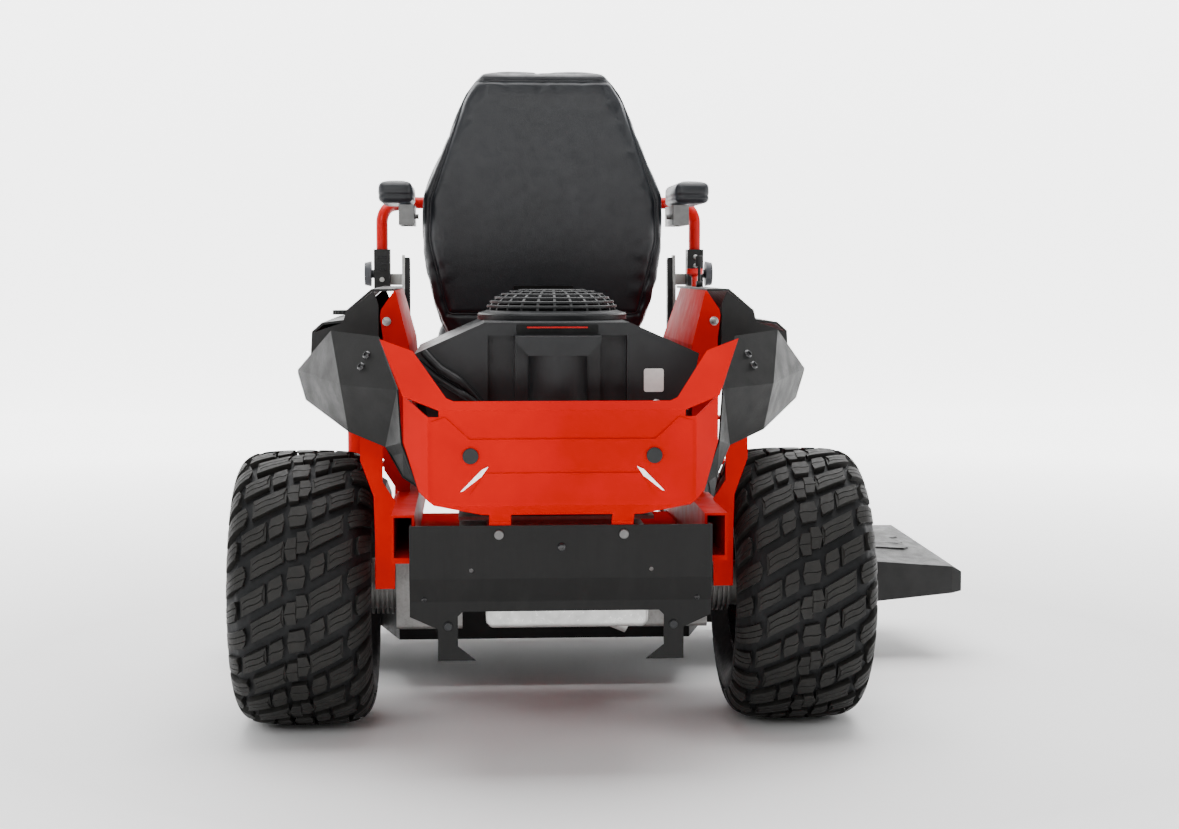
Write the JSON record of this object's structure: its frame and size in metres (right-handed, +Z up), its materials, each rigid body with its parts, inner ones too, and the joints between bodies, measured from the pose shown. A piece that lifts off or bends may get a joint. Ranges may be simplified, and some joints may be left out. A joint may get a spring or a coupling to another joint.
{
  "type": "zero turn mower",
  "caption": "Ride-on zero turn lawn mower with a rear engine, side-discharge deck, twin lap bars, high-backed seat and swivelling front casters.",
  "frame": {"origin": "centre of the bottom of the whole machine's bounding box, on the ground", "axes": "+Y is the way the mower drives, +X its right side where it discharges, +Z up"},
  "size_m": [1.529, 1.9014, 1.2436],
  "materials": {
    "red_paint": "glossy powder coat",
    "bar_paint": "glossy powder coat",
    "black_paint": "fine textured satin powder coat",
    "grey_paint": "light grey zinc",
    "rim_paint": "gloss",
    "black_plastic": "moulded, fine grain",
    "red_plastic": "gloss",
    "engine_plastic": "semi-gloss moulding",
    "cast_metal": "as cast",
    "bare_steel": "zinc plated",
    "tyre": "moulded tread",
    "rubber": "matt",
    "vinyl": "grained vinyl"
  },
  "bodies": {
    "chassis": {"frame_rail_left": "red_paint", "frame_rail_right": "red_paint", "front_beam": "red_paint", "engine_plate": "red_paint", "frame_upright_left": "red_paint", "frame_upright_right": "red_paint", "rear_guard": "red_paint", "side_panel_left": "red_paint", "side_panel_right": "red_paint", "muffler_guard": "black_paint", "fender_wing_left": "black_paint", "fender_wing_right": "black_paint", "floor_pan": "black_paint", "seat_support": "black_paint", "fender_left": "black_plastic", "fender_right": "black_plastic", "fuel_tank": "black_plastic", "engine_shroud": "engine_plastic", "fan_guard": "engine_plastic", "engine_block": "cast_metal", "transaxle_left": "cast_metal", "transaxle_right": "cast_metal", "muffler": "bare_steel", "guard_fasteners": "bare_steel", "engine_hoses": "rubber"},
    "crank": {"crankshaft": "bare_steel"},
    "seat": {"seat_pan": "black_paint", "seat_cushion": "vinyl", "seat_back": "vinyl"},
    "cap": {"fuel_cap": "black_plastic"},
    "throttle": {"throttle_lever": "black_plastic"},
    "clutch": {"clutch_knob": "red_plastic"},
    "deck": {"deck_shell": "black_paint"},
    "chute": {"discharge_chute": "black_plastic"},
    "wheel_left": {"rear_tyre_left": "tyre", "rear_rim_left": "rim_paint"},
    "fork_left": {"caster_fork_left": "red_paint"},
    "caster_wheel_left": {"caster_tyre_left": "tyre", "caster_rim_left": "rim_paint"},
    "arm_left": {"armrest_left": "vinyl", "armrest_bracket_left": "grey_paint"},
    "lever_left": {"lap_lever_left": "grey_paint"},
    "bar_left": {"lap_bar_left": "bar_paint"},
    "gauge_left": {"gauge_wheel_left": "rubber"},
    "wheel_right": {"rear_tyre_right": "tyre", "rear_rim_right": "rim_paint"},
    "fork_right": {"caster_fork_right": "red_paint"},
    "caster_wheel_right": {"caster_tyre_right": "tyre", "caster_rim_right": "rim_paint"},
    "arm_right": {"armrest_right": "vinyl", "armrest_bracket_right": "grey_paint"},
    "lever_right": {"lap_lever_right": "grey_paint"},
    "bar_right": {"lap_bar_right": "bar_paint"},
    "gauge_right": {"gauge_wheel_right": "rubber"},
    "cutter_centre": {"spindle_centre": "bare_steel", "blade_centre": "bare_steel"},
    "cutter_left": {"spindle_left": "bare_steel", "blade_left": "bare_steel"},
    "cutter_right": {"spindle_right": "bare_steel", "blade_right": "bare_steel"}
  },
  "joints": [
    {"name": "crank_turn", "type": "hinge", "parent": "chassis", "child": "crank", "pos_m": [-0.1425, -0.54425, 0.4], "axis": [0, 0, 1], "continuous": true},
    {"name": "seat_tilt", "type": "hinge", "parent": "chassis", "child": "seat", "pos_m": [-0.1425, 0.28075, 0.592], "axis": [-1, 0, 0], "range_deg": [0, 30]},
    {"name": "wheel_left_turn", "type": "hinge", "parent": "chassis", "child": "wheel_left", "pos_m": [-0.5945, -0.46425, 0.254], "axis": [1, 0, 0], "continuous": true},
    {"name": "caster_left_swivel", "type": "hinge", "parent": "chassis", "child": "fork_left", "pos_m": [-0.5725, 0.88575, 0.38], "axis": [0, 0, 1], "continuous": true},
    {"name": "caster_left_turn", "type": "hinge", "parent": "fork_left", "child": "caster_wheel_left", "pos_m": [-0.5725, 0.78575, 0.165], "axis": [1, 0, 0], "continuous": true},
    {"name": "armrest_left_lift", "type": "hinge", "parent": "seat", "child": "arm_left", "pos_m": [-0.4005, -0.13425, 0.948], "axis": [1, 0, 0], "range_deg": [0, 80]},
    {"name": "lap_left_drive", "type": "hinge", "parent": "chassis", "child": "lever_left", "pos_m": [-0.4285, 0.09575, 0.6], "axis": [-1, 0, 0], "range_deg": [-9, 18], "stiffness_Nm_per_rad": 60},
    {"name": "lap_left_swing", "type": "hinge", "parent": "lever_left", "child": "bar_left", "pos_m": [-0.4765, 0.09575, 0.82], "axis": [0, -1, 0], "range_deg": [0, 35]},
    {"name": "gauge_left_turn", "type": "hinge", "parent": "deck", "child": "gauge_left", "pos_m": [-0.4725, 0.46875, 0.118], "axis": [1, 0, 0], "continuous": true},
    {"name": "wheel_right_turn", "type": "hinge", "parent": "chassis", "child": "wheel_right", "pos_m": [0.3095, -0.46425, 0.254], "axis": [1, 0, 0], "continuous": true},
    {"name": "caster_right_swivel", "type": "hinge", "parent": "chassis", "child": "fork_right", "pos_m": [0.2875, 0.88575, 0.38], "axis": [0, 0, 1], "continuous": true},
    {"name": "caster_right_turn", "type": "hinge", "parent": "fork_right", "child": "caster_wheel_right", "pos_m": [0.2875, 0.78575, 0.165], "axis": [1, 0, 0], "continuous": true},
    {"name": "armrest_right_lift", "type": "hinge", "parent": "seat", "child": "arm_right", "pos_m": [0.1155, -0.13425, 0.948], "axis": [1, 0, 0], "range_deg": [0, 80]},
    {"name": "lap_right_drive", "type": "hinge", "parent": "chassis", "child": "lever_right", "pos_m": [0.1435, 0.09575, 0.6], "axis": [-1, 0, 0], "range_deg": [-9, 18], "stiffness_Nm_per_rad": 60},
    {"name": "lap_right_swing", "type": "hinge", "parent": "lever_right", "child": "bar_right", "pos_m": [0.1915, 0.09575, 0.82], "axis": [0, 1, 0], "range_deg": [0, 35]},
    {"name": "gauge_right_turn", "type": "hinge", "parent": "deck", "child": "gauge_right", "pos_m": [0.1875, 0.46875, 0.118], "axis": [1, 0, 0], "continuous": true},
    {"name": "fuel_cap_turn", "type": "hinge", "parent": "chassis", "child": "cap", "pos_m": [-0.5435, -0.13425, 0.76], "axis": [0, 0, 1], "continuous": true},
    {"name": "throttle_move", "type": "hinge", "parent": "chassis", "child": "throttle", "pos_m": [0.1655, -0.21425, 0.8133], "axis": [-1, 0, 0], "range_deg": [-25, 25]},
    {"name": "clutch_pull", "type": "slide", "parent": "chassis", "child": "clutch", "axis": [0, 0, 1], "range_m": [0, 0.012]},
    {"name": "deck_height", "type": "slide", "parent": "chassis", "child": "deck", "axis": [0, 0, 1], "range_m": [-0.057, 0.019]},
    {"name": "chute_lift", "type": "hinge", "parent": "deck", "child": "chute", "pos_m": [0.4895, 0.18575, 0.238], "axis": [0, -1, 0], "range_deg": [0, 75]},
    {"name": "blade_centre_spin", "type": "hinge", "parent": "deck", "child": "cutter_centre", "pos_m": [-0.1425, 0.03575, 0.24], "axis": [0, 0, 1], "continuous": true},
    {"name": "blade_left_spin", "type": "hinge", "parent": "deck", "child": "cutter_left", "pos_m": [-0.5395, 0.18575, 0.24], "axis": [0, 0, 1], "continuous": true},
    {"name": "blade_right_spin", "type": "hinge", "parent": "deck", "child": "cutter_right", "pos_m": [0.2545, 0.18575, 0.24], "axis": [0, 0, 1], "continuous": true}
  ],
  "couplings": [
    {"joint": "blade_left_spin", "follows": "blade_centre_spin", "ratio": 1},
    {"joint": "blade_right_spin", "follows": "blade_centre_spin", "ratio": 1}
  ]
}
